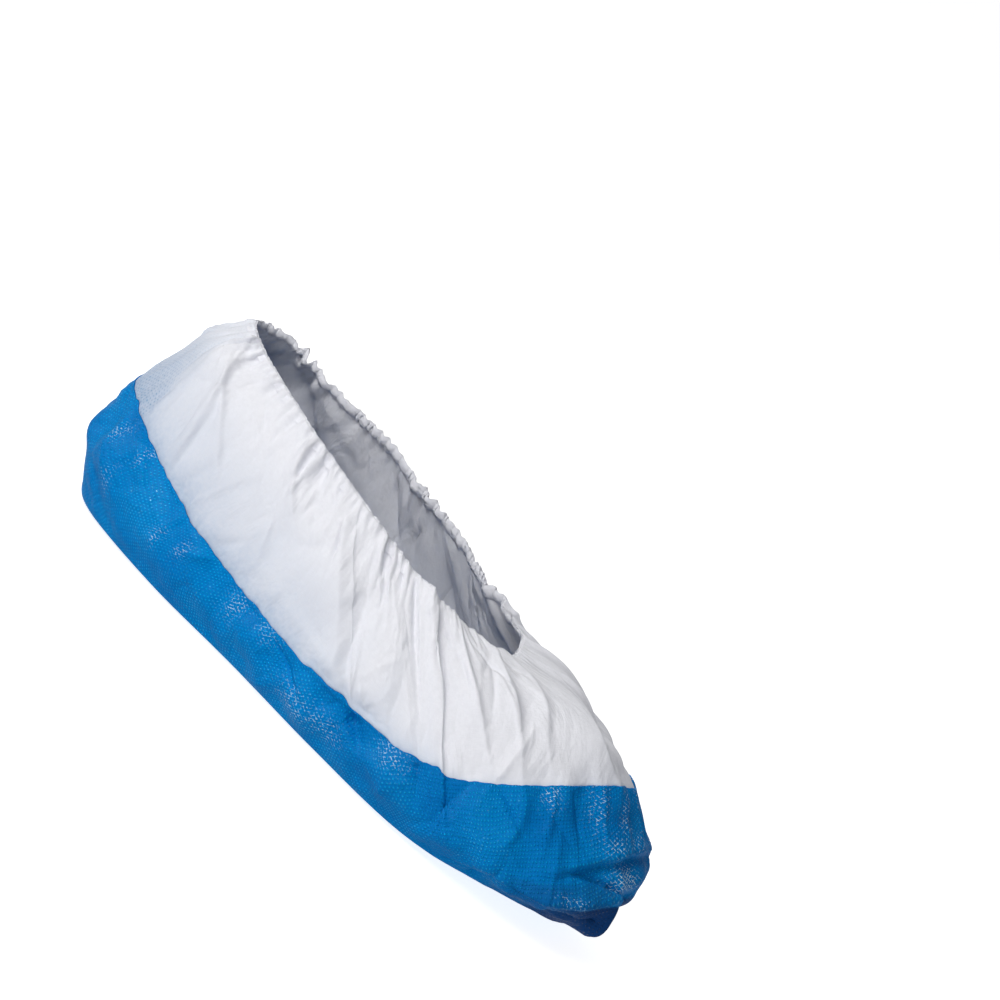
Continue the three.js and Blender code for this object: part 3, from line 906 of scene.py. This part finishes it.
def mixColour(tree, share, first, second):
    # first where the share is 0, second where it is 1; a colour of three numbers gets full opacity
    first, second = ((*c, 1) if isinstance(c, tuple) else c for c in (first, second))
    return addNode(tree, "ShaderNodeMix", {0: share, 6: first, 7: second}, data_type="RGBA").outputs[2]


def noise(tree, spot, scale, detail, twist=0.0, output=0):
    # soft random clouds, scale of them to a unit, as a value or, from output 1, as a colour
    links = {"Vector": spot, "Scale": scale, "Detail": detail, "Distortion": twist}
    return addNode(tree, "ShaderNodeTexNoise", links).outputs[output]


def ramp(tree, value, low, high, kind="LINEAR"):
    # 0 where the value is low, 1 where it is high
    links = {"Value": value, "From Min": low, "From Max": high}
    return addNode(tree, "ShaderNodeMapRange", links, interpolation_type=kind).outputs[0]


def stretched(tree, uv, across, up, turn):
    # the flat map scaled by two numbers and turned in its plane
    links = {"Vector": uv, "Scale": (across, up, 1), "Rotation": (0, 0, turn)}
    return addNode(tree, "ShaderNodeMapping", links).outputs[0]


def bump(tree, height, strength, distance, under=None):
    # relief of a height in metres, laid over the relief under it
    links = {"Height": height, "Strength": strength, "Distance": distance}
    if under is not None:
        links["Normal"] = under
    return addNode(tree, "ShaderNodeBump", links).outputs[0]


def pointValue(tree, name):
    # a shade value kept in the mesh
    return addNode(tree, "ShaderNodeAttribute", attribute_name=name).outputs["Fac"]


emboss = {
    "stretch": 0.004,          # metres that the sheet is pulled out of true
    "stretchNoise": (60.0, 1.0),   # scale and detail
    "pointEdges": (0.1, 2.6),  # heights of the summed waves where a point starts, and where it is full
    "strokeEdges": (0.62, 1.0),
}


def embossPoints(tree, uv, pitch):
    # raised points in columns up the sheet, each column set half a step on: the sum of three waves that run
    # 60 degrees apart; and the fine strokes that cross there: the crests of the two slanting waves
    pull = noise(tree, uv, *emboss["stretchNoise"], output=1)
    links = {0: pull, 1: (emboss["stretch"], emboss["stretch"], 0), 2: uv}
    bent = addNode(tree, "ShaderNodeVectorMath", links, operation="MULTIPLY_ADD").outputs[0]
    wave = 4 * math.pi / math.sqrt(3) / pitch / mm
    hills = []
    for turn in (0, math.pi / 3, -math.pi / 3):
        way = (wave * math.cos(turn), wave * math.sin(turn), 0)
        along = addNode(tree, "ShaderNodeVectorMath", {0: bent, 1: way}, operation="DOT_PRODUCT")
        hills.append(maths(tree, "COSINE", along.outputs["Value"]))
    lattice = maths(tree, "ADD", maths(tree, "ADD", *hills[:2]), hills[2])
    crest = maths(tree, "MAXIMUM", *hills[1:])
    points = ramp(tree, lattice, *emboss["pointEdges"], "SMOOTHSTEP")
    return points, ramp(tree, crest, *emboss["strokeEdges"], "SMOOTHSTEP")


clothFinish = {
    "roughness": 0.85,
    "specular": 0.25,
    "sheen": 0.10,
    "sheenRoughness": 0.5,
    "fibres": ((420, 2400, 0.5), (2400, 500, 0.35)),   # two layers: number a metre across and up, and turn
    "fibreDetail": 3.0,
    "clouds": (520.0, 4.0),                            # scale and detail
    "mottle": (0.4, 0.3),                              # shares of the clouds and of the fibres
    "tones": (0.87, 1.11, 0.96),                       # darkest and palest share of the colour, and its limit
    "dots": (0.85, 0.35),                              # film's tint between the emboss points, more on them
    "patches": (0.55, 0.8),                            # film's tint at least, more by the clouds
    # broad wrinkles and fine crinkles: number a metre across and up, and turn; detail, twist, depth in metres
    "wrinkles": [((80, 34, 0.45), 3.0, 1.2, 0.005), ((260, 90, 0.15), 4.0, 0.8, 0.0014)],
    "grain": (0.6, 0.0004),                            # strength, and depth in metres
}


def tintFilmAndShade(tree, uv, cloud, colour, look):
    # the film's blue through the cloth, with the painted shade of the lower back: its value in the mesh,
    # dotted by the emboss where the film backs it, and made patchy by the clouds
    between, onPoints = clothFinish["dots"]
    least, byClouds = clothFinish["patches"]
    near, over = pointValue(tree, "filmTintAndShade"), pointValue(tree, "onFilm")
    points = embossPoints(tree, uv, filmLook["pitch"])[0]
    dots = maths(tree, "MULTIPLY", points, maths(tree, "MULTIPLY", over, onPoints))
    dots = maths(tree, "ADD", between, dots)
    patches = maths(tree, "ADD", least, maths(tree, "MULTIPLY", cloud, byClouds))
    tint = maths(tree, "MULTIPLY", near, maths(tree, "MULTIPLY", dots, patches))
    return mixColour(tree, tint, colour, look["filmTintAndShadeColour"])


def clothMaterial(name, look):
    # spunbond cloth: matted fibres as noise stretched two ways, cloudy thickness, broad wrinkles and
    # fine crinkles
    finish = clothFinish
    material, shader = newMaterial(name, finish["roughness"])
    tree = material.node_tree
    uv = addNode(tree, "ShaderNodeUVMap", uv_map="cut").outputs[0]
    spot = addNode(tree, "ShaderNodeTexCoord").outputs["Object"]
    fibres = [noise(tree, stretched(tree, uv, *way), 1.0, finish["fibreDetail"]) for way in finish["fibres"]]
    cloud = noise(tree, spot, *finish["clouds"])
    cloudShare, fibreShare = finish["mottle"]
    matted = maths(tree, "MULTIPLY", maths(tree, "ADD", *fibres), fibreShare)
    mottle = maths(tree, "ADD", maths(tree, "MULTIPLY", cloud, cloudShare), matted)
    darkest, palest, limit = finish["tones"]
    dark = tuple(c * darkest for c in look["colour"])
    pale = tuple(min(c * palest, limit) for c in look["colour"])
    colour = mixColour(tree, mottle, dark, pale)
    # the film's blue through the cloth, and painted shade on the lower back
    if "filmTintAndShadeColour" in look:
        colour = tintFilmAndShade(tree, uv, cloud, colour, look)
    tree.links.new(colour, shader.inputs["Base Color"])
    shader.inputs["Specular IOR Level"].default_value = finish["specular"]
    shader.inputs["Sheen Weight"].default_value = finish["sheen"]
    shader.inputs["Sheen Roughness"].default_value = finish["sheenRoughness"]
    relief = None
    for way, detail, twist, depth in finish["wrinkles"]:
        uneven = noise(tree, stretched(tree, uv, *way), 1.0, detail, twist)
        relief = bump(tree, uneven, look["crinkle"], depth, relief)
    relief = bump(tree, mottle, *finish["grain"], relief)
    tree.links.new(relief, shader.inputs["Normal"])
    return material


filmFinish = {
    "roughness": 0.42,
    "specular": 0.02,
    "coatRoughness": 0.08,         # of the gloss on the points
    "coatIndex": 1.5,
    "pointClouds": (520.0, 3.0),          # scale and detail of the clouds
    "patch": (40.0, 3.0),
    "wrinkle": (110.0, 5.0, 0.6),  # and twist
    "spark": (900.0, 3.0),
    "shownEdges": (0.72, 1.2),     # point clouds and patch together where the points start to pale, and fully do
    "brightEdges": (1.10, 1.26),   # the same where the points are glossy
    "paleEdges": (0.3, 0.7),       # spark where the painted glint strokes start, and where they are full
    "sparkEdges": (0.55, 0.70),    # spark where the strokes start to shine, and fully do
    "sparkHelp": 0.08,             # added to the spark at the glint spots
    "pointPower": (1.5, 2.0),      # over 1 for smaller points, in the colour and in the gloss
    "wrinkleRelief": (0.65, 0.0025),   # strength, and depth in metres
    "pointRelief": (0.9, 0.00038),
    "coatRelief": (0.8, 0.0004),
}


def filmMaterial(name, look):
    # embossed film: raised points that are paler and glossier than the ground, the paleness partly a painted
    # highlight, over shallow wrinkles, with painted glint strokes at listed spots; darker by painted shade
    # over the toe and around its lip, partly where it lies double
    finish = filmFinish
    material, shader = newMaterial(name, finish["roughness"])
    tree = material.node_tree
    uv = addNode(tree, "ShaderNodeUVMap", uv_map="cut").outputs[0]
    spot = addNode(tree, "ShaderNodeTexCoord").outputs["Object"]
    points, strokes = embossPoints(tree, uv, look["pitch"])
    kinds = ("pointClouds", "patch", "wrinkle", "spark")
    pointClouds, patch, wrinkle, spark = (noise(tree, spot, *finish[kind]) for kind in kinds)
    uneven = maths(tree, "ADD", pointClouds, patch)
    inColour, inGloss = (maths(tree, "POWER", points, power) for power in finish["pointPower"])
    colour = mixColour(tree, ramp(tree, patch, *finish["paleEdges"]), look["colour"], look["pale"])
    # paler points, partly a painted highlight for the glints off the emboss
    raised = maths(tree, "MULTIPLY", inColour, ramp(tree, uneven, *finish["shownEdges"]))
    colour = mixColour(tree, raised, colour, look["raised"])
    # painted shade over the toe and around its lip, partly the doubled film
    colour = mixColour(tree, pointValue(tree, "doubledAndShaded"), colour, look["doubledAndShaded"])
    # painted glints: pale strokes laid into the colour at the glint spots, where the spark noise is high
    tight = pointValue(tree, "tight")
    spark = maths(tree, "ADD", spark, maths(tree, "MULTIPLY", tight, finish["sparkHelp"]))
    lit = maths(tree, "MULTIPLY", ramp(tree, spark, *finish["sparkEdges"]), strokes)
    paintedGlint = maths(tree, "MULTIPLY", maths(tree, "MINIMUM", tight, 1.0), lit)
    colour = mixColour(tree, paintedGlint, colour, look["paintedGlint"])
    tree.links.new(colour, shader.inputs["Base Color"])
    gloss = maths(tree, "MULTIPLY", inGloss, ramp(tree, uneven, *finish["brightEdges"]))
    tree.links.new(gloss, shader.inputs["Coat Weight"])
    shader.inputs["Coat Roughness"].default_value = finish["coatRoughness"]
    shader.inputs["Coat IOR"].default_value = finish["coatIndex"]
    shader.inputs["Specular IOR Level"].default_value = finish["specular"]
    low = bump(tree, wrinkle, *finish["wrinkleRelief"])
    tree.links.new(bump(tree, points, *finish["pointRelief"], low), shader.inputs["Normal"])
    tree.links.new(bump(tree, points, *finish["coatRelief"], low), shader.inputs["Coat Normal"])
    return material


upper.data.materials.append(clothMaterial("nonwoven cloth", upperLook))
film.data.materials.append(filmMaterial("embossed film", filmLook))
hem.data.materials.append(clothMaterial("gathered hem cloth", hemLook))

for piece, node, slot in ((upper, "upper", "nonwoven"), (film, "sole_cover", "film"),
                          (hem, "elastic_hem", "hem")):
    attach(piece, "root")
    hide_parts(node)
print("materials given")

# the camera stands off at the photograph's angle, turned about its own axis so that the toe points
# down to the right
view = {
    "azimuth": 20.0,               # degrees
    "elevation": 18.0,
    "roll": 37.0,
    "distance": 1600.0,            # mm
    "pixelsPerMm": 2.45,
    "target": (142.0, 0.0, 45.0),  # mm of the worn shape
    "targetPixel": (386.0, 631.0),
    "frameSize": 1000.0,           # pixels
    "sensor": 36.0,                # mm
    "clip": (0.05, 60),            # metres
}
targetSpot = (Vector(view["target"]) - Vector(fit["seat"])) * mm     # metres of the frame


def makeCamera(view):
    # its axes come from the three angles; the target isn't in the picture's middle, so the camera is then
    # turned until the target falls on its pixel
    a, e, r = (math.radians(view[key]) for key in ("azimuth", "elevation", "roll"))
    back = Vector((math.sin(a) * math.cos(e), -math.cos(a) * math.cos(e), math.sin(e)))
    level = Vector((math.cos(a), math.sin(a), 0))
    upright = back.cross(level)
    right = math.cos(r) * level + math.sin(r) * upright
    top = -math.sin(r) * level + math.cos(r) * upright
    focal = view["distance"] * view["pixelsPerMm"]
    middle = view["frameSize"] / 2
    column, row = view["targetPixel"]
    ahead = (-back * focal + right * (middle - column) + top * (row - middle)).normalized()
    right = ahead.cross(top).normalized()
    top = right.cross(ahead)
    data = bpy.data.cameras.new("camera")
    data.lens = focal / view["frameSize"] * view["sensor"]
    data.sensor_width = view["sensor"]
    data.clip_start, data.clip_end = view["clip"]
    camera = bpy.data.objects.new("camera", data)
    camera.matrix_world = Matrix((right, top, -ahead)).transposed().to_4x4()
    camera.location = (Vector(view["target"]) - Vector(fit["seat"]) + back * view["distance"]) * mm
    scene.collection.objects.link(camera)
    scene.camera = camera
    return back, right, top


toCamera, toRight, toTop = makeCamera(view)
print("camera placed")

studio = {
    "floor": 0.55,
    "floorGlow": 0.84,
    "floorRoughness": 0.9,
    "floorSize": 14.0,             # metres
    "sky": (0.66, 0.27),           # brightness of the room from below and from above
    "horizon": 0.2,                # height over which the one turns into the other
    "skyColour": (0.96, 0.98, 1.03),
    "keyColour": (1.0, 0.985, 0.955),
    # direction as shares of to camera, right and top; power in watts, size and distance in metres;
    # the lamps for glints show in gloss only
    "lamps": {
        "key": ((0.72, -0.12, 0.68), 18.5, 0.9, 1.9),
        "fill": ((0.84, -0.44, 0.16), 8.0, 0.9, 1.9),
        "back": ((-0.80, 0.10, 0.62), 14.0, 1.2, 1.9),
        "glint side": ((0.50, -0.70, 0.51), 20.0, 0.35, 1.6),
        "glint heel": ((0.08, -0.76, 0.66), 16.0, 0.35, 1.6),
    },
}


def makeFloor(studio):
    # one square face at the height of the film's lowest point
    half = studio["floorSize"] / 2
    spots = np.empty(len(film.data.vertices) * 3, np.float32)
    film.data.vertices.foreach_get("co", spots)
    low = float(spots[2::3].min())
    corners = [(-half, -half, low), (half, -half, low), (half, half, low), (-half, half, low)]
    floor = bpy.data.objects.new("floor", bpy.data.meshes.new("floor"))
    floor.data.from_pydata(corners, [], [(0, 1, 2, 3)])
    material, shader = newMaterial("pale floor", studio["floorRoughness"])
    shader.inputs["Base Color"].default_value = (studio["floor"],) * 3 + (1,)
    shader.inputs["Emission Color"].default_value = (1, 1, 1, 1)
    shader.inputs["Emission Strength"].default_value = studio["floorGlow"]
    floor.data.materials.append(material)
    scene.collection.objects.link(floor)
    floor.visible_diffuse = floor.visible_glossy = False   # sends no light up, so undersides stay in shade


def makeSky(studio):
    # an even room whose brightness changes with the height of the direction
    world = bpy.data.worlds.new("studio")
    world.use_nodes = True
    tree = world.node_tree
    direction = addNode(tree, "ShaderNodeTexCoord").outputs["Generated"]
    height = addNode(tree, "ShaderNodeSeparateXYZ", {0: direction}).outputs[2]
    below, above = studio["sky"]
    links = {"Value": height, "From Min": -studio["horizon"], "From Max": studio["horizon"],
             "To Min": below, "To Max": above}
    glow = addNode(tree, "ShaderNodeMapRange", links).outputs[0]
    background = tree.nodes["Background"]
    background.inputs["Color"].default_value = (*studio["skyColour"], 1)
    tree.links.new(glow, background.inputs["Strength"])
    scene.world = world


def makeLamps(studio):
    # square lamps round the target, each facing it
    for name, (shares, power, size, reach) in studio["lamps"].items():
        light = bpy.data.lights.new(name, "AREA")
        light.energy, light.size, light.color = power, size, studio["keyColour"]
        lamp = bpy.data.objects.new(name, light)
        toLamp = (toCamera * shares[0] + toRight * shares[1] + toTop * shares[2]).normalized()
        lamp.location = targetSpot + toLamp * reach
        lamp.rotation_mode = "QUATERNION"
        lamp.rotation_quaternion = (-toLamp).to_track_quat("-Z", "Y")
        lamp.visible_diffuse = not name.startswith("glint")
        scene.collection.objects.link(lamp)


makeFloor(studio)
makeSky(studio)
makeLamps(studio)
scene.view_settings.view_transform = "Standard"
print("studio lit")
